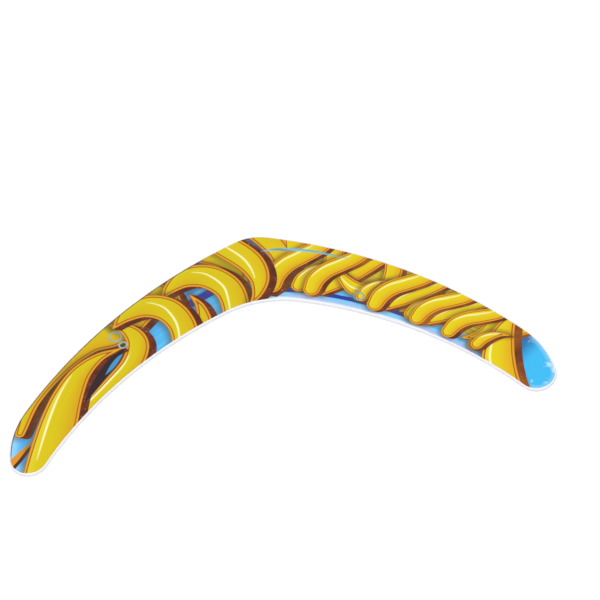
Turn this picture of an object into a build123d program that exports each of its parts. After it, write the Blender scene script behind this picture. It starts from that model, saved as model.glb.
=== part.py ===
from build123d import *
import os
from math import atan2, cos, hypot, pi, radians, sin

# A flat V-shaped throwing boomerang. The arms spread left and right (X) and trail back (-Y) from the
# elbow; +Z is the printed side. The origin is the middle of the board's footprint, on its underside.
# All sizes are in millimetres.

# Planform, measured at the outside of the rim. Every stretch of it is a circular arc.
SPAN = 400.0                 # tip to tip
DEPTH = 183.2                # front of the elbow to the trailing ends of the tips
ELBOW_WIDTH = 62.0           # front to back, on the centre line
ELBOW_OUTER_RADIUS = 34.0
ARM_OUTER_RADIUS = 394.0     # the long leading edge of each arm
SHOULDER_RADIUS = 71.0       # the quicker turn just before the tip
NOSE_RADIUS = 14.4           # the round end of the tip
SHOULDER_END_ANGLE = 2.6     # degrees above +X where the shoulder hands over to the nose
ARM_INNER_RADIUS = 331.0     # the long trailing edge of each arm
ELBOW_INNER_RADIUS = 77.0

# Lay-up, from the underside to the printed side.
BACKING_FILM = 0.12
FACE_PLY = 0.6
CROSS_PLY = 0.6
CORE_PLY = 0.6
PRINT_FILM = 0.12
GLOSS_LAMINATE = 0.08

# Rim.
EDGE_ROUNDING = 0.8          # radius of the rounded rim, top and bottom
EDGE_COAT = 0.25             # lacquer over the cut edge of the plies
FILM_LEDGE = 0.2             # flat strip of lacquer between the rounding and the films

PLIES = {
    "face_veneer_lower": FACE_PLY,
    "crossband_lower": CROSS_PLY,
    "core_veneer": CORE_PLY,
    "crossband_upper": CROSS_PLY,
    "face_veneer_upper": FACE_PLY,
}

wood_bottom = BACKING_FILM
wood_top = wood_bottom + sum(PLIES.values())
print_top = wood_top + PRINT_FILM
board_top = print_top + GLOSS_LAMINATE
film_inset = EDGE_ROUNDING + FILM_LEDGE
front = DEPTH / 2            # Y of the elbow's foremost point


def crossing(first, first_radius, second, second_radius):
    """The point at the two given distances, on the right of the way from first to second."""
    dx, dy = second[0] - first[0], second[1] - first[1]
    gap = hypot(dx, dy)
    along = (gap**2 + first_radius**2 - second_radius**2) / (2 * gap)
    across = (first_radius**2 - along**2) ** 0.5
    ux, uy = dx / gap, dy / gap
    return (first[0] + along * ux + across * uy, first[1] + along * uy - across * ux)


def heading(start, end):
    """The direction from one point to another, in radians."""
    return atan2(end[1] - start[1], end[0] - start[0])


# Arc centres of the right half. Neighbouring arcs touch, which fixes the two long arcs' centres.
elbow_outer = (0.0, front - ELBOW_OUTER_RADIUS)
elbow_inner = (0.0, front - ELBOW_WIDTH - ELBOW_INNER_RADIUS)
nose = (SPAN / 2 - NOSE_RADIUS, NOSE_RADIUS - front)
shoulder_reach = SHOULDER_RADIUS - NOSE_RADIUS
shoulder_end = radians(SHOULDER_END_ANGLE)
shoulder = (
    nose[0] - shoulder_reach * cos(shoulder_end),
    nose[1] - shoulder_reach * sin(shoulder_end),
)
arm_outer = crossing(
    elbow_outer,
    ARM_OUTER_RADIUS - ELBOW_OUTER_RADIUS,
    shoulder,
    ARM_OUTER_RADIUS - SHOULDER_RADIUS,
)
arm_inner = crossing(
    elbow_inner,
    ARM_INNER_RADIUS - ELBOW_INNER_RADIUS,
    nose,
    ARM_INNER_RADIUS + NOSE_RADIUS,
)

# Directions, from the arc centres, of the points where one arc hands over to the next.
outer_elbow_end = heading(arm_outer, elbow_outer)
outer_arm_end = heading(arm_outer, shoulder)
nose_end = heading(nose, arm_inner)
inner_arm_start = heading(arm_inner, nose)
inner_elbow_start = heading(arm_inner, elbow_inner)


def arc(centre, radius, start, end, side=1):
    """A circular arc between two directions, seen from its centre; side -1 mirrors it to the left."""
    def point(angle):
        return (side * (centre[0] + radius * cos(angle)), centre[1] + radius * sin(angle))

    return ThreePointArc(point(start), point((start + end) / 2), point(end))


def planform(inset):
    """The board's outline, moved in from the outside of the rim."""
    elbow_out = ELBOW_OUTER_RADIUS - inset
    elbow_in = ELBOW_INNER_RADIUS + inset
    outline = [
        arc(elbow_outer, elbow_out, pi - outer_elbow_end, outer_elbow_end),
        arc(elbow_inner, elbow_in, inner_elbow_start, pi - inner_elbow_start),
    ]
    for side in (1, -1):
        outline += [
            arc(arm_outer, ARM_OUTER_RADIUS - inset, outer_elbow_end, outer_arm_end, side),
            arc(shoulder, SHOULDER_RADIUS - inset, outer_arm_end, shoulder_end, side),
            arc(nose, NOSE_RADIUS - inset, shoulder_end, nose_end, side),
            arc(arm_inner, ARM_INNER_RADIUS + inset, inner_arm_start, inner_elbow_start, side),
        ]
    return make_face(outline)


def sheet(inset, bottom, thickness):
    """A flat layer with the board's outline."""
    return Pos(0, 0, bottom) * extrude(planform(inset), thickness)


def rounded_board(inset, bottom, top, rounding):
    """A layer whose upper and lower rims are rounded."""
    blank = sheet(inset, bottom, top - bottom)
    rims = blank.faces().sort_by(Axis.Z)
    return fillet(rims[0].edges() + rims[-1].edges(), rounding)


def make_plies():
    """The plywood, cut into its veneers; the face veneers carry the rounding."""
    wood = rounded_board(EDGE_COAT, wood_bottom, wood_top, EDGE_ROUNDING - EDGE_COAT)
    plies = {}
    bottom = wood_bottom
    for name, thickness in PLIES.items():
        slab = Pos(0, 0, bottom + thickness / 2) * Box(2 * SPAN, 2 * DEPTH, thickness)
        plies[name] = wood & slab
        bottom += thickness
    return wood, plies


def make_edge_coat(wood):
    """The lacquer that wraps the rim, from the edge of one film round to the edge of the other."""
    envelope = rounded_board(0, 0, board_top, EDGE_ROUNDING)
    films = sheet(film_inset, 0, board_top)
    return envelope - wood - films


def make_films():
    """The films glued to the two faces, and the clear laminate over the printed one."""
    return {
        "backing_film": sheet(film_inset, 0, BACKING_FILM),
        "print_film": sheet(film_inset, wood_top, PRINT_FILM),
        "gloss_laminate": sheet(film_inset, print_top, GLOSS_LAMINATE),
    }


wood, nodes = make_plies()
nodes["edge_lacquer"] = make_edge_coat(wood)
nodes.update(make_films())

os.makedirs("parts", exist_ok=True)
for name, shape in nodes.items():
    shape.label = name
    export_step(shape, f"parts/{name}.step")
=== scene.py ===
"""A printed V-shaped throwing boomerang on a plain white floor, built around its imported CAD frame."""

import math

import bpy
import numpy as np
from mathutils import Matrix, Vector
from mathutils.geometry import delaunay_2d_cdt


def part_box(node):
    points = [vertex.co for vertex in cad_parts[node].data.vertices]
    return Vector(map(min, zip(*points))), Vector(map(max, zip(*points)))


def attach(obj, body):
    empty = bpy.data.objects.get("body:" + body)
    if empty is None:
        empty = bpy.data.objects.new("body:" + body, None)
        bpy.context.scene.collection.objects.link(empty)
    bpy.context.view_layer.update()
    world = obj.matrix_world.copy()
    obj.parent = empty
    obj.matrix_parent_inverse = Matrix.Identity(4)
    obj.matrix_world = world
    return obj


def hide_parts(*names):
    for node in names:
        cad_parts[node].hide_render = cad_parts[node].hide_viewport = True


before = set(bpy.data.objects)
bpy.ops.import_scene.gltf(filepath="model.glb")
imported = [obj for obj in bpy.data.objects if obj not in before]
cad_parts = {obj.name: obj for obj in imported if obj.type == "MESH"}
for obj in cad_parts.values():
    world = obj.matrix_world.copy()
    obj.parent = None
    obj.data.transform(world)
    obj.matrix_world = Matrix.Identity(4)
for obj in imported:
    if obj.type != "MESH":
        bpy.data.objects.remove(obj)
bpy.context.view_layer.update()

MM = 0.001  # the drawing below is in millimetres, Blender is in metres


# ---------------------------------------------------------------- planform, as the CAD part has it

board_low, board_high = (np.array(corner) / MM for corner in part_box("edge_lacquer"))
SPAN = board_high[0] - board_low[0]
DEPTH = board_high[1] - board_low[1]
BOARD_TOP = board_high[2]
ELBOW_WIDTH = 62.0
ELBOW_OUTER_RADIUS = 34.0
ARM_OUTER_RADIUS = 394.0
SHOULDER_RADIUS = 71.0
NOSE_RADIUS = 14.4
SHOULDER_END = math.radians(2.6)
ARM_INNER_RADIUS = 331.0
ELBOW_INNER_RADIUS = 77.0

EDGE_ROUNDING = 0.8  # radius of the rim, top and bottom
EDGE_COAT = 0.25     # lacquer over the cut edge of the plies
FILM_INSET = 1.0     # from the outside of the rim to the edge of the films
WOOD_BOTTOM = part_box("face_veneer_lower")[0][2] / MM
WOOD_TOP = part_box("face_veneer_upper")[1][2] / MM


def crossing(first, first_radius, second, second_radius):
    """The point at the two given distances, on the right of the way from first to second."""
    way = second - first
    gap = np.hypot(*way)
    along = (gap**2 + first_radius**2 - second_radius**2) / (2 * gap)
    across = math.sqrt(first_radius**2 - along**2)
    unit = way / gap
    return first + along * unit + across * np.array((unit[1], -unit[0]))


def heading(start, end):
    """The direction from one point to another, in radians."""
    return math.atan2(end[1] - start[1], end[0] - start[0])


def planform_arcs():
    """The right half's arcs, from the elbow's front round to its back: centre, radius, start, end, side.

    side is +1 where moving in from the rim makes the radius larger, and -1 where it makes it smaller.
    """
    front = DEPTH / 2
    elbow_outer = np.array((0, front - ELBOW_OUTER_RADIUS))
    elbow_inner = np.array((0, front - ELBOW_WIDTH - ELBOW_INNER_RADIUS))
    nose = np.array((SPAN / 2 - NOSE_RADIUS, NOSE_RADIUS - front))
    shoulder_reach = SHOULDER_RADIUS - NOSE_RADIUS
    shoulder = nose - shoulder_reach * np.array((math.cos(SHOULDER_END), math.sin(SHOULDER_END)))
    arm_outer = crossing(
        elbow_outer, ARM_OUTER_RADIUS - ELBOW_OUTER_RADIUS, shoulder, ARM_OUTER_RADIUS - SHOULDER_RADIUS
    )
    arm_inner = crossing(
        elbow_inner, ARM_INNER_RADIUS - ELBOW_INNER_RADIUS, nose, ARM_INNER_RADIUS + NOSE_RADIUS
    )
    elbow_end = heading(arm_outer, elbow_outer)
    arm_end = heading(arm_outer, shoulder)
    inner_start = heading(arm_inner, nose)
    inner_end = heading(arm_inner, elbow_inner)
    return [
        (elbow_outer, ELBOW_OUTER_RADIUS, math.pi / 2, elbow_end, -1),
        (arm_outer, ARM_OUTER_RADIUS, elbow_end, arm_end, -1),
        (shoulder, SHOULDER_RADIUS, arm_end, SHOULDER_END, -1),
        (nose, NOSE_RADIUS, SHOULDER_END, heading(nose, arm_inner), -1),
        (arm_inner, ARM_INNER_RADIUS, inner_start, inner_end, 1),
        (elbow_inner, ELBOW_INNER_RADIUS, inner_end, math.pi / 2, 1),
    ]


ARCS = planform_arcs()
OUTLINE_STEP = 0.7  # millimetres between points on the outline


def outline(inset):
    """Points on the board's outline, clockwise from the elbow's front; every inset gives as many."""
    right = []
    for centre, radius, start, end, side in ARCS:
        steps = max(6, round(radius * abs(end - start) / OUTLINE_STEP))
        angles = np.linspace(start, end, steps, endpoint=False)
        reach = radius + side * inset
        right.append(centre + reach * np.column_stack((np.cos(angles), np.sin(angles))))
    right = np.vstack(right)
    centre, radius, _, _, side = ARCS[-1]
    back = centre + (radius + side * inset) * np.array((0.0, 1.0))
    left = right[:0:-1] * (-1, 1)
    return np.vstack((right, back, left))


# ---------------------------------------------------------------- drawing tools for the print


def arm_centreline():
    """A circle midway between an arm's two long edges, on the right half: centre and radius."""
    (outer_centre, outer_radius), (inner_centre, inner_radius) = ARCS[1][:2], ARCS[4][:2]
    return (outer_centre + inner_centre) / 2, (outer_radius + inner_radius) / 2


ARM_CENTRE, ARM_RADIUS = arm_centreline()
ELBOW_ANGLE = math.acos(-ARM_CENTRE[0] / ARM_RADIUS)  # where that circle meets the centre line


def on_arm(points, along, size):
    """Places a motif on the right arm: x runs outwards along the arm, y towards the front."""
    placed = []
    for x, y, radius in points:
        angle = ELBOW_ANGLE - (along + size * x) / ARM_RADIUS
        reach = ARM_RADIUS + size * y
        spot = ARM_CENTRE + reach * np.array((math.cos(angle), math.sin(angle)))
        placed.append((spot[0], spot[1], size * radius))
    return placed


PATH_STEP = 0.8     # millimetres between the points of a stroke's path
LEAST_RADIUS = 0.05


def smooth_path(points):
    """Catmull-Rom curve through x, y, radius points."""
    knots = np.array(points, float)
    knots = np.vstack((2 * knots[0] - knots[1], knots, 2 * knots[-1] - knots[-2]))
    path = []
    for a, b, c, d in zip(knots, knots[1:], knots[2:], knots[3:]):
        steps = max(2, int(np.hypot(*(c - b)[:2]) / PATH_STEP))
        for t in np.linspace(0, 1, steps, endpoint=False):
            square = 2 * a - 5 * b + 4 * c - d
            cube = 3 * b - a - 3 * c + d
            path.append(0.5 * (2 * b + (c - a) * t + square * t**2 + cube * t**3))
    path.append(knots[-2])
    path = np.array(path)
    path[:, 2] = np.maximum(path[:, 2], LEAST_RADIUS)
    return path


FAR = 12.0                       # fields are cut off this far outside a stroke, in millimetres
LIGHT = np.array((-0.75, 0.66))  # where the painted light comes from
GLINT_STRETCH = (0.16, 0.7)      # the part of a stroke's length that its highlight runs along
GLINT_SHIFT = 0.58               # how far towards the lit side it lies, in stroke radii
GLINT_WIDTH = 0.55               # its half width, in line widths


def stroke_distance(where, path, drawn_out=None):
    """Distance outside a stroke of varying radius, negative inside, and the nearest path point.

    The stroke may be drawn out sideways by a vector, as the thick side of a raised shape is.
    """
    distance = np.full(len(where), FAR)
    nearest = np.zeros(len(where), int)
    reach = path[:, 2].max() + FAR
    if drawn_out is not None:
        reach += np.hypot(*drawn_out)
    low = path[:, :2].min(axis=0) - reach
    high = path[:, :2].max(axis=0) + reach
    near = np.nonzero(((where > low) & (where < high)).all(axis=1))[0]
    if len(near):
        gaps = where[near, None, :] - path[None, :, :2]
        if drawn_out is not None:
            share = np.clip(gaps @ drawn_out / (drawn_out @ drawn_out), 0, 1)
            gaps -= share[..., None] * drawn_out
        edge = np.hypot(gaps[..., 0], gaps[..., 1]) - path[:, 2]
        nearest[near] = edge.argmin(axis=1)
        distance[near] = np.minimum(edge.min(axis=1), FAR)
    return distance, nearest


class Layer:
    """Strokes that don't touch each other, painted as one set of fields over the print."""

    def __init__(self, where):
        self.where = where
        self.edge = np.full(len(where), FAR)      # outside the strokes, in line widths
        self.depth = np.full(len(where), FAR)     # outside the strokes drawn out into thick slabs
        self.glint = np.full(len(where), FAR)     # outside the highlight lines
        self.round = np.zeros(len(where))         # -1 on a stroke's shaded side, +1 on its lit side

    def add(self, points, line, slab, glint):
        """Adds a stroke, given its rim's line width, how its thick side is drawn out, and if it glints."""
        path = smooth_path(points)
        distance, nearest = stroke_distance(self.where, path)
        offset = (self.where - path[nearest, :2]) @ LIGHT / path[nearest, 2]
        scaled = distance / line
        self.round = np.where(scaled < self.edge, np.clip(offset, -1.2, 1.2), self.round)
        self.edge = np.minimum(self.edge, scaled)
        self.depth = np.minimum(self.depth, stroke_distance(self.where, path, np.array(slab))[0])
        if glint:
            self.add_glint(path, line)

    def add_glint(self, path, line):
        """A thin tapered line along the lit side of the stroke."""
        first, last = (int(share * len(path)) for share in GLINT_STRETCH)
        way = np.gradient(path[:, :2], axis=0)
        way /= np.maximum(np.hypot(*way.T)[:, None], 1e-6)
        side = LIGHT - (way @ LIGHT)[:, None] * way
        line_path = path.copy()
        line_path[:, :2] += GLINT_SHIFT * path[:, 2:] * side
        line_path = line_path[first:last + 1]
        share = np.linspace(0, 1, len(line_path))
        line_path[:, 2] = GLINT_WIDTH * line * np.sin(np.pi * share) ** 0.6 + 0.02
        self.glint = np.minimum(self.glint, stroke_distance(self.where, line_path)[0])

    def fields(self):
        """What the print's material reads: three distances and the roundness."""
        return self.edge, self.depth, self.glint, self.round


# ---------------------------------------------------------------- what is painted on the print

# Motifs drawn beside the origin: x outwards along the arm, y towards the front, then the radius.
RISING = [(-9, -14, 6.0), (-8, -5, 6.8), (-3, 4, 6.8), (5, 12, 6.6), (13, 21, 6.2), (19, 34, 6.0)]
HANGING = [(2, 36, 7.0), (7, 22, 7.0), (9, 11, 6.4), (8, 1, 5.0), (3, -8, 3.0), (-4, -14, 0.6)]
DROP = [(-1, -12, 5.2), (0, -6, 5.0), (4, 1, 3.6), (9, 6, 1.9), (15, 9, 0.4)]
SWOOSH = [(-22, 9, 0.6), (-14, 0, 4.2), (-3, -6, 6.2), (9, -5, 6.4), (19, 2, 4.6), (27, 11, 0.6)]
LEAF = [(-12, -17, 0.6), (-7, -8, 4.4), (0, 2, 6.6), (8, 12, 6.0), (16, 22, 4.2), (24, 34, 4.0)]

# The right arm's row: the motif, its layer, how far out along the arm, and its size.
ROW = [
    (HANGING, "back", 16, 1.25), (RISING, "middle", 27, 1.2), (DROP, "front", 38, 1.15),
    (HANGING, "back", 46, 1.1), (RISING, "top", 57, 1.08), (LEAF, "back", 70, 1.1),
    (SWOOSH, "middle", 83, 1.05), (DROP, "front", 88, 0.95), (HANGING, "back", 92, 1.0),
    (RISING, "top", 109, 1.06), (LEAF, "middle", 121, 1.0), (HANGING, "back", 124, 1.0),
    (DROP, "front", 130, 1.05), (RISING, "top", 144, 1.0), (HANGING, "back", 148, 1.0),
    (LEAF, "middle", 155, 0.95), (RISING, "top", 171, 0.95), (DROP, "front", 188, 0.95),
    (HANGING, "back", 178, 0.95), (RISING, "back", 194, 0.9),
]

# The large tongues of the left arm, the elbow and the right tip, in board coordinates.
LARGE_BACK = [
    [
        (-190, -54, 4.0), (-177, -26, 6.0), (-154, 1, 8.4),
        (-131, 18, 11.0), (-110, 25, 14.0), (-86, 40, 10.0),
    ],
    [(-98, 60, 8.0), (-82, 57, 8.0), (-68, 50, 6.0), (-60, 41, 1.6)],
    [(-50, 2, 8.0), (-45, 18, 6.2), (-46, 34, 3.4), (-52, 46, 0.6)],
    [(-46, 86, 8.0), (-28, 76, 7.4), (-15, 63, 5.0), (-8, 50, 0.8)],
    [(0, 104, 9.0), (13, 86, 9.4), (20, 70, 8.6), (20, 54, 6.4), (14, 42, 3.4), (6, 34, 0.6)],
]
LARGE_MIDDLE = [
    [
        (-164, -70, 5.0), (-142, -46, 6.6), (-120, -26, 7.6), (-103, -9, 8.4),
        (-96, 8, 8.4), (-101, 22, 5.8), (-114, 30, 1.0),
    ],
    [
        (-24, 6, 9.6), (-20, 26, 10.4), (-23, 46, 11.0), (-36, 60, 11.0),
        (-52, 63, 9.4), (-65, 56, 5.4), (-73, 47, 1.0),
    ],
    [
        (166, -100, 10.0), (161, -80, 12.0), (161, -60, 12.4),
        (166, -43, 10.0), (174, -29, 5.8), (184, -19, 1.0),
    ],
]
LARGE_FRONT = [
    [
        (-180, -104, 15.0), (-170, -76, 15.4), (-161, -50, 14.0), (-152, -28, 11.4),
        (-141, -10, 8.0), (-126, 2, 4.2), (-109, 7, 0.8),
    ],
    [(-34, 100, 10.0), (-17, 84, 11.0), (-4, 68, 10.4), (1, 52, 8.0), (-2, 38, 4.4), (-9, 28, 0.8)],
]
LARGE_TOP = [
    [
        (-68, -20, 9.6), (-61, 2, 10.2), (-62, 21, 10.6), (-71, 36, 11.0),
        (-86, 42, 10.0), (-101, 37, 6.4), (-112, 27, 1.0),
    ],
]

# How each size of tongue is drawn: the line width of its rim, and how its thick side is drawn out.
LARGE_LINE, LARGE_SLAB = 1.1, (5.2, -2.6)
ROW_LINE, ROW_SLAB = 0.8, (2.8, -2.0)

# Small marks: streaks, a dark opening with sky in it, and thin rings as x, y, radius.
TIP_STREAK = [(-203, -84, 2.4), (-194, -75, 2.3), (-181, -62, 0.3)]
SKY_STREAK = [(6, 76, 0.4), (20, 75, 1.3), (44, 68, 1.2), (70, 55, 0.3)]
STREAK_SHADE_SHIFT = (2.2, -1.6)
DARK_WEDGE = [(-140, -36, 0.4), (-132, -24, 2.8), (-123, -12, 3.8), (-114, -1, 2.8), (-106, 6, 0.4)]
WEDGE_OPENING = [(-123, -15, 0.2), (-117, -8, 1.7), (-112, -2, 1.5), (-108, 2, 0.2)]
BUBBLES = [(-111.5, 18.5, 4.4), (-107, 10, 2.8), (71, 19, 3.6)]


def stroke_field(where, points, shift=(0.0, 0.0)):
    """Distance outside one stroke, moved by a shift."""
    moved = [(x + shift[0], y + shift[1], radius) for x, y, radius in points]
    return stroke_distance(where, smooth_path(moved))[0]


def art_fields(where):
    """Every field that the print's material reads, at the given points in board millimetres."""
    large = {"back": LARGE_BACK, "middle": LARGE_MIDDLE, "front": LARGE_FRONT, "top": LARGE_TOP}
    layers = {name: Layer(where) for name in large}
    for name, tongues in large.items():
        for tongue in tongues:
            layers[name].add(tongue, LARGE_LINE, LARGE_SLAB, glint=name != "back")
    for motif, name, along, size in ROW:
        tongue = on_arm(motif, along, size)
        layers[name].add(tongue, ROW_LINE, ROW_SLAB, glint=name != "back")
    bubbles = np.full(len(where), FAR)
    for x, y, radius in BUBBLES:
        ring = np.abs(np.hypot(where[:, 0] - x, where[:, 1] - y) - radius)
        bubbles = np.minimum(bubbles, ring)
    fields = {name: layer.fields() for name, layer in layers.items()}
    fields["marks"] = (
        stroke_field(where, TIP_STREAK),
        stroke_field(where, TIP_STREAK, STREAK_SHADE_SHIFT),
        stroke_field(where, SKY_STREAK),
    )
    fields["place"] = (*arm_place(where), rim_distance(where))
    fields["wedge"] = stroke_field(where, DARK_WEDGE)
    fields["opening"] = stroke_field(where, WEDGE_OPENING)
    fields["bubbles"] = bubbles
    return fields


def arm_place(where):
    """How far out along its arm each point is, negative on the left, and how far before its centreline."""
    offset = np.abs(where * (1, 0)) + where * (0, 1) - ARM_CENTRE
    angle = np.arctan2(offset[:, 1], offset[:, 0])
    along = (ELBOW_ANGLE - angle) * ARM_RADIUS
    across = np.hypot(*offset.T) - ARM_RADIUS
    return along * np.where(where[:, 0] < 0, -1, 1), across


def rim_distance(where):
    """Distance to the print's edge, in millimetres, taken a few outline points at a time."""
    edge = outline(FILM_INSET)
    nearest = np.full(len(where), FAR)
    batch = 100
    for start in range(0, len(edge), batch):
        gaps = where[:, None, :] - edge[None, start:start + batch]
        nearest = np.minimum(nearest, np.hypot(gaps[..., 0], gaps[..., 1]).min(axis=1))
    return nearest


# ---------------------------------------------------------------- meshes


def inside(where, loop):
    """Which points lie inside a closed loop."""
    crossings = np.zeros(len(where), int)
    for (ax, ay), (bx, by) in zip(loop, np.roll(loop, -1, axis=0)):
        if ay == by:
            continue
        rows = (where[:, 1] < ay) != (where[:, 1] < by)
        reach = ax + (where[rows, 1] - ay) * (bx - ax) / (by - ay)
        crossings[rows] += where[rows, 0] < reach
    return crossings % 2 == 1


def triangles(loop, spacing):
    """An even mesh of triangles inside a loop; the loop's points come first."""
    low, high = loop.min(axis=0), loop.max(axis=0)
    xs = np.arange(low[0], high[0], spacing)
    ys = np.arange(low[1], high[1], spacing * math.sqrt(0.75))
    grid_x, grid_y = np.meshgrid(xs, ys)
    grid_x[1::2] += spacing / 2
    grid = np.column_stack((grid_x.ravel(), grid_y.ravel()))
    grid = grid[inside(grid, loop)]
    clearance = 0.55 * spacing  # keeps slivers away from the rim
    grid = grid[rim_distance(grid) > clearance]
    points = [Vector(p) for p in np.vstack((loop, grid))]
    edges = [(i, (i + 1) % len(loop)) for i in range(len(loop))]
    verts, _, faces, *_ = delaunay_2d_cdt(points, edges, [], 1, 1e-6)
    return np.array([tuple(v) for v in verts]), [list(face) for face in faces]


def make_object(name, verts, faces, material):
    """A mesh object from points in millimetres, riding on the board."""
    mesh = bpy.data.meshes.new(name)
    mesh.from_pydata([tuple(v) for v in np.asarray(verts) * MM], [], faces)
    mesh.validate()
    mesh.materials.append(material)
    obj = bpy.data.objects.new(name, mesh)
    bpy.context.collection.objects.link(obj)
    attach(obj, "root")
    return obj


HIDDEN_SPACING = 12.0  # millimetres between the points of a film's hidden face


def make_film(name, low, high, spacing, material, upward):
    """A thin closed film in the print's outline; its finely meshed face is the one that shows."""
    loop = outline(FILM_INSET)
    shown, fine = triangles(loop, spacing)
    hidden, coarse = triangles(loop, HIDDEN_SPACING)
    count = len(shown)
    shown_z, hidden_z = (high, low) if upward else (low, high)
    verts = np.vstack((
        np.column_stack((shown, np.full(len(shown), shown_z))),
        np.column_stack((hidden, np.full(len(hidden), hidden_z))),
    ))
    around = range(len(loop))
    step = [(i + 1) % len(loop) for i in around]
    if upward:
        faces = fine + [[count + i for i in reversed(face)] for face in coarse]
        faces += [[i, step[i], count + step[i], count + i] for i in around]
    else:
        faces = [face[::-1] for face in fine] + [[count + i for i in face] for face in coarse]
        faces += [[count + i, count + step[i], step[i], i] for i in around]
    return make_object(name, verts, faces, material)


def quarter(inset_centre, z_centre, radius, start, end, steps):
    """Points of a quarter round in the rim's section, as inset and height."""
    angles = np.linspace(start, end, steps)
    return [(inset_centre - radius * math.cos(a), z_centre + radius * math.sin(a)) for a in angles]


def rim_section():
    """The lacquer band's closed section, from the top ledge outwards and back inside."""
    outer, inner = EDGE_ROUNDING, EDGE_ROUNDING - EDGE_COAT
    upright = math.pi / 2
    section = [(FILM_INSET, BOARD_TOP)]
    section += quarter(outer, BOARD_TOP - outer, outer, upright, 0, 8)
    section += quarter(outer, outer, outer, 0, -upright, 8)
    section += [(FILM_INSET, 0.0), (FILM_INSET, WOOD_BOTTOM)]
    section += quarter(outer, WOOD_BOTTOM + inner, inner, -upright, 0, 4)
    section += quarter(outer, WOOD_TOP - inner, inner, 0, upright, 4)
    section += [(FILM_INSET, WOOD_TOP)]
    return section


def make_rim(material):
    """The lacquer band: its section swept round the outline."""
    rings = []
    for inset, z in rim_section():
        ring = outline(inset)
        rings.append(np.column_stack((ring, np.full(len(ring), z))))
    count = len(rings[0])
    faces = []
    for j in range(len(rings)):
        a, b = j * count, (j + 1) % len(rings) * count
        faces += [[a + i, a + (i + 1) % count, b + (i + 1) % count, b + i] for i in range(count)]
    rim = make_object("edge_lacquer_band", np.vstack(rings), faces, material)
    rim.data.shade_smooth()
    rim.data.set_sharp_from_angle(angle=math.radians(40))
    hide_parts("edge_lacquer")


# ---------------------------------------------------------------- material tools


def paint(code):
    """A hex colour as a linear RGBA."""
    shares = [int(code[i:i + 2], 16) / 255 for i in (0, 2, 4)]
    return (*((s / 12.92 if s < 0.04045 else ((s + 0.055) / 1.055) ** 2.4) for s in shares), 1.0)


class Graph:
    """A material's nodes, written as expressions."""

    def __init__(self, name):
        self.material = bpy.data.materials.new(name)
        self.material.use_nodes = True
        self.tree = self.material.node_tree
        self.shader = self.tree.nodes["Principled BSDF"]

    def node(self, kind, inputs, **settings):
        """A new node; an input is linked where it is given a socket, and set where it is given a value."""
        node = self.tree.nodes.new(kind)
        for key, value in settings.items():
            setattr(node, key, value)
        for key, value in inputs.items():
            if isinstance(value, bpy.types.NodeSocket):
                self.tree.links.new(value, node.inputs[key])
            else:
                node.inputs[key].default_value = value
        return node

    def math(self, operation, *values):
        """Arithmetic on sockets and numbers."""
        return self.node("ShaderNodeMath", dict(enumerate(values)), operation=operation).outputs[0]

    def smooth(self, value, low, high):
        """0 below low, 1 above high, and smooth between; low may be above high."""
        inputs = {"Value": value, "From Min": low, "From Max": high}
        return self.node("ShaderNodeMapRange", inputs, interpolation_type="SMOOTHSTEP").outputs[0]

    def band(self, value, low, high, soft):
        """1 between low and high, with soft edges."""
        rise = self.smooth(value, low - soft, low + soft)
        fall = self.smooth(value, high + soft, high - soft)
        return self.math("MULTIPLY", rise, fall)

    def mix(self, share, under, over):
        """One colour over another."""
        inputs = {0: share, 6: under, 7: over}
        return self.node("ShaderNodeMix", inputs, data_type="RGBA").outputs[2]

    def split(self, attribute):
        """The parts of a point attribute: three of a vector."""
        source = self.node("ShaderNodeAttribute", {}, attribute_name=attribute)
        return self.node("ShaderNodeSeparateXYZ", {0: source.outputs["Vector"]}).outputs[:]

    def value(self, attribute):
        """A point attribute of one value."""
        return self.node("ShaderNodeAttribute", {}, attribute_name=attribute).outputs["Fac"]

    def here(self, stretch=(1, 1, 1)):
        """The point's place on the board, in metres, stretched."""
        source = self.node("ShaderNodeTexCoord", {}).outputs["Object"]
        return self.node("ShaderNodeMapping", {"Vector": source, "Scale": stretch}).outputs[0]

    def noise(self, scale, detail=2.0, roughness=0.5, stretch=(1, 1, 1)):
        """Noise fixed to the board, in cycles a metre."""
        inputs = {"Vector": self.here(stretch), "Scale": scale, "Detail": detail, "Roughness": roughness}
        return self.node("ShaderNodeTexNoise", inputs).outputs["Fac"]

    def arm_noise(self, along, across, along_scale, across_scale):
        """Noise drawn out along the arms."""
        inputs = {
            0: self.math("MULTIPLY", along, along_scale),
            1: self.math("MULTIPLY", across, across_scale),
        }
        vector = self.node("ShaderNodeCombineXYZ", inputs).outputs[0]
        inputs = {"Vector": vector, "Scale": 1.0, "Detail": 3.0}
        return self.node("ShaderNodeTexNoise", inputs).outputs["Fac"]

    def bump(self, height, distance, strength):
        """A normal tilted by a height; the distance is in metres."""
        inputs = {"Height": height, "Distance": distance, "Strength": strength}
        return self.node("ShaderNodeBump", inputs).outputs[0]

    def set(self, **values):
        """Sets or links the shader's sockets; an underscore stands for a space in a socket's name."""
        for key, value in values.items():
            socket = self.shader.inputs[key.replace("_", " ")]
            if isinstance(value, bpy.types.NodeSocket):
                self.tree.links.new(value, socket)
            else:
                socket.default_value = value


# ---------------------------------------------------------------- materials


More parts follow.
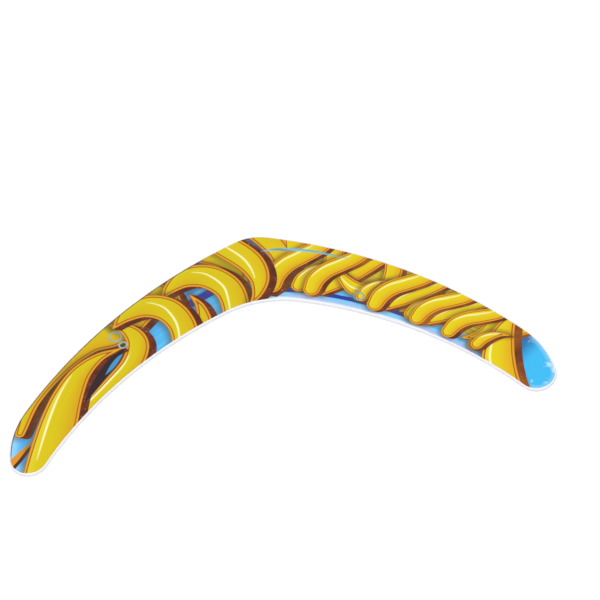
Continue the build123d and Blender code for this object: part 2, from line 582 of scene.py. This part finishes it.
def paint_layer(g, under, name, body, warm, side_tint):
    """One layer of puffy strokes: soft shade, thick brown side, rim lines, rounded body, highlight."""
    edge, depth, glint = g.split(name)
    rounding = g.value(name + "_round")
    shade = g.smooth(edge, 6.5, -0.5)
    colour = g.mix(g.math("MULTIPLY", shade, 0.62), under, paint("4c451c"))
    side = g.smooth(depth, 0.15, -0.15)
    side_light = g.noise(140, 3)
    brown = g.mix(g.smooth(side_light, 0.35, 0.75), paint("54200f"), paint("6e3018"))
    brown = g.mix(side_tint, brown, paint("a25a14"))
    glitter = g.math("MULTIPLY", g.smooth(g.noise(650, 2), 0.6, 0.72), g.smooth(side_light, 0.45, 0.6))
    brown = g.mix(g.math("MULTIPLY", glitter, 0.5), brown, paint("b08a74"))
    colour = g.mix(side, colour, brown)
    fill = g.mix(g.smooth(rounding, 0.25, -0.95), body, warm)
    fill = g.mix(g.math("MULTIPLY", g.smooth(rounding, 0.3, 1.0), 0.35), fill, paint("f4e24a"))
    fill = g.mix(g.band(edge, -2.35, -1.45, 0.12), fill, paint("a0620c"))
    fill = g.mix(g.smooth(edge, -1.6, -1.35), fill, paint("e09a1a"))
    fill = g.mix(g.math("MULTIPLY", g.smooth(edge, -0.55, -0.2), 0.85), fill, paint("a85a10"))
    fill = g.mix(g.smooth(glint, 0.7, -0.3), fill, paint("f8f0ac"))
    inside_stroke = g.smooth(edge, 0.12, -0.12)
    return g.mix(inside_stroke, colour, fill)


def print_material():
    """Colour print under a clear gloss laminate."""
    g = Graph("print_under_gloss")
    along, across, rim = g.split("place")
    bubbles = g.value("bubbles")
    streak, streak_shade, sky_streak = g.split("marks")
    wedge = g.value("wedge")
    opening = g.value("opening")
    cloud = g.noise(28, 3)
    fine = g.noise(900, 2)
    flow = g.arm_noise(along, across, 0.018, 0.32)

    # Behind the strokes: blue, with an olive haze along the right arm's leading side.
    sky = g.mix(cloud, paint("4fbcf0"), paint("2c93d8"))
    water = g.mix(g.smooth(across, 16, -16), paint("2f7cc0"), paint("4db0e6"))
    water = g.mix(g.math("MULTIPLY", g.smooth(flow, 0.45, 0.7), 0.35), water, paint("8fd0f0"))
    olive = g.mix(g.smooth(flow, 0.3, 0.7), paint("a8902a"), paint("d0ba26"))
    over_olive = g.math("MULTIPLY", g.smooth(across, -14, -7), g.band(along, 18, 190, 6))
    base = g.mix(over_olive, water, olive)

    # Stripes beside the trailing edge, indigo and then pale, and an indigo band on the left arm.
    trailing = g.smooth(across, 2, -2)
    inland = g.math("MULTIPLY_ADD", flow, 3.0, g.math("SUBTRACT", rim, 1.5))
    indigo = g.math("MULTIPLY", g.band(inland, 5.4, 9.6, 0.3), g.band(along, -30, 128, 4))
    indigo = g.math("MULTIPLY", indigo, trailing)
    far_band = g.math("MULTIPLY", g.band(across, -8, -1, 0.4), g.band(along, -68, -30, 3))
    base = g.mix(g.math("MAXIMUM", indigo, far_band), base, paint("2c3296"))
    foam = g.math("MULTIPLY", g.smooth(inland, 5.0, 4.5), g.band(along, -40, 196, 4))
    foam = g.math("MULTIPLY", foam, trailing)
    pale = g.mix(g.smooth(inland, 1.8, 0.6), paint("86c2ea"), paint("d3e8f8"))
    base = g.mix(foam, base, g.mix(g.smooth(flow, 0.52, 0.62), pale, paint("b4b8e6")))

    # The right tip: darker beside the last stroke, paler at the rim, with soft white glints.
    speckle = g.math("MULTIPLY", g.smooth(g.noise(170, 3), 0.56, 0.74), g.smooth(cloud, 0.42, 0.62))
    tip_sky = g.mix(g.smooth(along, 212, 228), paint("1f6ca8"), paint("3ab4ea"))
    tip_sky = g.mix(g.math("MULTIPLY", g.smooth(rim, 4, 0.5), 0.45), tip_sky, paint("9fd4f2"))
    tip_sky = g.mix(g.math("MULTIPLY", speckle, 0.7), tip_sky, paint("e4f6fd"))
    base = g.mix(g.smooth(along, 184, 196), base, tip_sky)

    # The left tip: brown between the strokes, then sky with one streak and its shade.
    earth = g.mix(cloud, paint("56231a"), paint("6e3020"))
    base = g.mix(g.band(along, -168, -118, 2), base, earth)
    tip = g.mix(g.smooth(rim, 9, 1), sky, paint("8ccaf0"))
    base = g.mix(g.smooth(along, -163, -168), base, tip)
    base = g.mix(g.smooth(streak_shade, 0.4, -0.3), base, paint("4a1c12"))
    base = g.mix(g.smooth(streak, 0.2, -0.2), base, paint("d98a1e"))

    # The strokes, from back to front, and the dark opening between the last two layers.
    side_tint = g.math("MULTIPLY", g.smooth(along, 10, 60), g.smooth(cloud, 0.35, 0.75))
    lemon = g.smooth(along, -50, 50)
    body = g.mix(lemon, paint("cfbc02"), paint("dcc806"))
    warm = g.mix(lemon, paint("cf9a08"), paint("dc9e0e"))
    colour = paint_layer(g, base, "back", g.mix(0.15, body, warm), warm, side_tint)
    colour = paint_layer(g, colour, "middle", body, warm, side_tint)
    colour = paint_layer(g, colour, "front", body, warm, side_tint)
    colour = g.mix(g.smooth(wedge, 0.2, -0.2), colour, paint("2a1c20"))
    colour = g.mix(g.smooth(opening, 0.2, -0.2), colour, paint("3f8fc4"))
    colour = paint_layer(g, colour, "top", body, warm, side_tint)

    # Small marks over everything: a brushed streak, thin rings, and a dark line of painted shade on the
    # leading rim.
    brush = g.mix(g.smooth(flow, 0.4, 0.6), paint("3f93ae"), paint("6cc0dc"))
    colour = g.mix(g.math("MULTIPLY", g.smooth(sky_streak, 0.5, -0.6), 0.9), colour, brush)
    ring = g.smooth(bubbles, 0.85, 0.4)
    ring_tone = g.mix(g.smooth(cloud, 0.4, 0.6), paint("5fa0b4"), paint("9cc8c8"))
    colour = g.mix(g.math("MULTIPLY", ring, 0.8), colour, ring_tone)
    # Painted shade: a dark line along the left arm's leading rim, standing for the rounded edge turning
    # away from the light.
    leading_rim_painted_shade = g.math("MULTIPLY", g.smooth(rim, 1.0, 0.5), g.smooth(across, 4, 10))
    leading_rim_painted_shade = g.math("MULTIPLY", leading_rim_painted_shade, g.smooth(along, -20, -40))
    colour = g.mix(g.math("MULTIPLY", leading_rim_painted_shade, 0.9), colour, paint("4a3a0c"))

    # Ink grain, and a surface that is not quite flat.
    ink = g.math("MULTIPLY_ADD", fine, 0.10, 0.95)
    inputs = {0: 1.0, 6: colour, 7: ink}
    colour = g.node("ShaderNodeMix", inputs, data_type="RGBA", blend_type="MULTIPLY").outputs[2]

    waves = g.bump(g.noise(55, 2), 0.0003, 0.12)
    scuffs = g.noise(700, 2, stretch=(1, 9, 1))
    g.set(
        Base_Color=colour,
        Roughness=g.math("MULTIPLY_ADD", scuffs, 0.14, 0.16),
        Normal=waves,
        Specular_IOR_Level=0.12,
        Coat_Weight=0.18,
        Coat_Roughness=0.06,
    )
    return g.material


def lacquer_material():
    """White satin lacquer with a little orange peel."""
    g = Graph("white_edge_lacquer")
    tone = g.mix(g.noise(160, 3), paint("ececef"), paint("e0e0e9"))
    peel = g.noise(1500, 2)
    g.set(
        Base_Color=tone,
        Roughness=g.math("MULTIPLY_ADD", g.noise(400, 2), 0.2, 0.3),
        Normal=g.bump(peel, 0.00006, 0.5),
        Specular_IOR_Level=0.4,
    )
    return g.material


def backing_material():
    """White satin film over sanded veneer, whose grain shows through a little."""
    g = Graph("white_backing_film")
    grain = g.noise(220, 4, 0.6, stretch=(0.06, 1, 1))
    tone = g.mix(g.smooth(grain, 0.35, 0.75), paint("f1f1f2"), paint("e8e7e4"))
    g.set(
        Base_Color=tone,
        Roughness=g.math("MULTIPLY_ADD", grain, 0.2, 0.35),
        Normal=g.bump(grain, 0.00008, 0.4),
        Specular_IOR_Level=0.4,
    )
    return g.material


def veneer_material(name, light, dark, stretch):
    """Sanded light veneer with grain lines and pores."""
    g = Graph(name)
    grain = g.noise(320, 5, 0.65, stretch=stretch)
    rings = g.noise(60, 2, 0.5, stretch=stretch)
    tone = g.mix(g.smooth(rings, 0.3, 0.7), paint(light), paint(dark))
    tone = g.mix(g.math("MULTIPLY", g.smooth(grain, 0.5, 0.8), 0.5), tone, paint("a9824e"))
    g.set(
        Base_Color=tone,
        Roughness=g.math("MULTIPLY_ADD", grain, 0.2, 0.55),
        Normal=g.bump(grain, 0.0001, 0.4),
    )
    return g.material


# ---------------------------------------------------------------- the pieces


def add_attribute(mesh, name, values):
    """Stores one value, or a vector of three, at each vertex."""
    if np.ndim(values) == 1:
        mesh.attributes.new(name, "FLOAT", "POINT").data.foreach_set("value", values.astype(np.float32))
    else:
        flat = np.column_stack(values[:3]).astype(np.float32).ravel()
        mesh.attributes.new(name, "FLOAT_VECTOR", "POINT").data.foreach_set("vector", flat)


PRINT_SPACING = 0.7     # fine, because the print's fields are kept at the mesh's points
BACKING_SPACING = 4.0


def make_print():
    """The printed film with its clear laminate."""
    sheet = make_film("print_sheet", WOOD_TOP, BOARD_TOP, PRINT_SPACING, print_material(), upward=True)
    mesh = sheet.data
    where = np.empty(len(mesh.vertices) * 3, np.float32)
    mesh.vertices.foreach_get("co", where)
    where = where.reshape(-1, 3)[:, :2].astype(float) / MM
    fields = art_fields(where)
    for name, field in fields.items():
        add_attribute(mesh, name, field)
        if len(field) == 4:
            add_attribute(mesh, name + "_round", field[3])
    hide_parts("print_film", "gloss_laminate")


def make_underside():
    """The plain white film under the board."""
    film = make_film("backing_sheet", 0.0, WOOD_BOTTOM, BACKING_SPACING, backing_material(), upward=False)
    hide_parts("backing_film")


def finish_plies():
    """Veneer on the five plies: grain along the span, or front to back in the crossbands."""
    span_grain = veneer_material("long_grain_veneer", "e3c99c", "d6b683", (0.05, 1, 1))
    cross_grain = veneer_material("cross_grain_veneer", "d9bd8c", "c9a570", (1, 0.05, 1))
    for name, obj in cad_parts.items():
        if "veneer" in name or "crossband" in name:
            obj.data.materials.clear()
            obj.data.materials.append(cross_grain if "crossband" in name else span_grain)


make_print()
make_rim(lacquer_material())
make_underside()
finish_plies()


# ---------------------------------------------------------------- camera, light and floor

CAMERA_TARGET = Vector((0.02774, 0.02437, BOARD_TOP * MM))
CAMERA_AZIMUTH = math.radians(-3.5)  # measured from straight behind the tips, towards the right tip
CAMERA_ELEVATION = math.radians(52.13)
CAMERA_DISTANCE = 2.332
CAMERA_ROLL = math.radians(6.645)  # clockwise as seen through the camera
CAMERA_LENS = 188.67
WORLD_LIGHT = 0.55
FLOOR_GLOW = 0.22


def direction(azimuth, elevation):
    """A unit vector at an azimuth from -Y towards +X, and an elevation, in radians."""
    flat = math.cos(elevation)
    return Vector((math.sin(azimuth) * flat, -math.cos(azimuth) * flat, math.sin(elevation)))


def make_camera():
    """The camera looks down over the trailing edge, a little rolled."""
    away = direction(CAMERA_AZIMUTH, CAMERA_ELEVATION)
    data = bpy.data.cameras.new("camera")
    data.lens = CAMERA_LENS
    data.sensor_width = 36
    camera = bpy.data.objects.new("camera", data)
    turn = away.to_track_quat("Z", "Y").to_matrix() @ Matrix.Rotation(-CAMERA_ROLL, 3, "Z")
    camera.matrix_world = Matrix.Translation(CAMERA_TARGET + away * CAMERA_DISTANCE) @ turn.to_4x4()
    bpy.context.collection.objects.link(camera)
    bpy.context.scene.camera = camera


def make_softbox(name, azimuth, elevation, distance, size, power):
    """A square area lamp that faces the board."""
    away = direction(math.radians(azimuth), math.radians(elevation))
    data = bpy.data.lights.new(name, "AREA")
    data.size = size
    data.energy = power
    lamp = bpy.data.objects.new(name, data)
    turn = away.to_track_quat("Z", "Y").to_matrix().to_4x4()
    lamp.matrix_world = Matrix.Translation(away * distance) @ turn
    bpy.context.collection.objects.link(lamp)


def seen_directly(tree):
    """1 for rays that show a background: from the camera, a reflection or through glass."""
    rays = tree.nodes.new("ShaderNodeLightPath").outputs
    total = rays["Is Camera Ray"]
    for kind in ("Is Glossy Ray", "Is Transmission Ray"):
        both = tree.nodes.new("ShaderNodeMath")
        both.operation = "MAXIMUM"
        tree.links.new(total, both.inputs[0])
        tree.links.new(rays[kind], both.inputs[1])
        total = both.outputs[0]
    return total


def make_world():
    """An even white studio: white where it is seen, dimmer as a light."""
    world = bpy.data.worlds.new("studio")
    bpy.context.scene.world = world
    world.use_nodes = True
    tree = world.node_tree
    strength = tree.nodes.new("ShaderNodeMapRange")
    tree.links.new(seen_directly(tree), strength.inputs["Value"])
    strength.inputs["To Min"].default_value = WORLD_LIGHT
    strength.inputs["To Max"].default_value = 1.0
    tree.nodes["Background"].inputs["Color"].default_value = (1, 1, 1, 1)
    tree.links.new(strength.outputs[0], tree.nodes["Background"].inputs["Strength"])


def make_floor():
    """A plain pale floor that keeps the board's shadow."""
    half = 3.0
    corners = [(-half, -half, 0), (half, -half, 0), (half, half, 0), (-half, half, 0)]
    mesh = bpy.data.meshes.new("floor")
    mesh.from_pydata(corners, [], [(0, 1, 2, 3)])
    floor = bpy.data.objects.new("floor", mesh)
    bpy.context.collection.objects.link(floor)
    material = bpy.data.materials.new("floor_paper")
    material.use_nodes = True
    mesh.materials.append(material)
    tree = material.node_tree
    tree.nodes.remove(tree.nodes["Principled BSDF"])
    matt = tree.nodes.new("ShaderNodeBsdfDiffuse")
    matt.inputs["Color"].default_value = (0.8, 0.8, 0.8, 1)
    glow = tree.nodes.new("ShaderNodeEmission")
    strength = tree.nodes.new("ShaderNodeMath")
    strength.operation = "MULTIPLY"
    strength.inputs[1].default_value = FLOOR_GLOW
    tree.links.new(seen_directly(tree), strength.inputs[0])
    tree.links.new(strength.outputs[0], glow.inputs["Strength"])
    both = tree.nodes.new("ShaderNodeAddShader")
    tree.links.new(matt.outputs[0], both.inputs[0])
    tree.links.new(glow.outputs[0], both.inputs[1])
    tree.links.new(both.outputs[0], tree.nodes["Material Output"].inputs["Surface"])


bpy.context.scene.view_settings.view_transform = "Standard"
make_camera()
make_world()
make_softbox("key_light", azimuth=-35, elevation=62, distance=2.0, size=1.2, power=22)
make_softbox("fill_light", azimuth=60, elevation=50, distance=2.2, size=1.4, power=10)
make_floor()
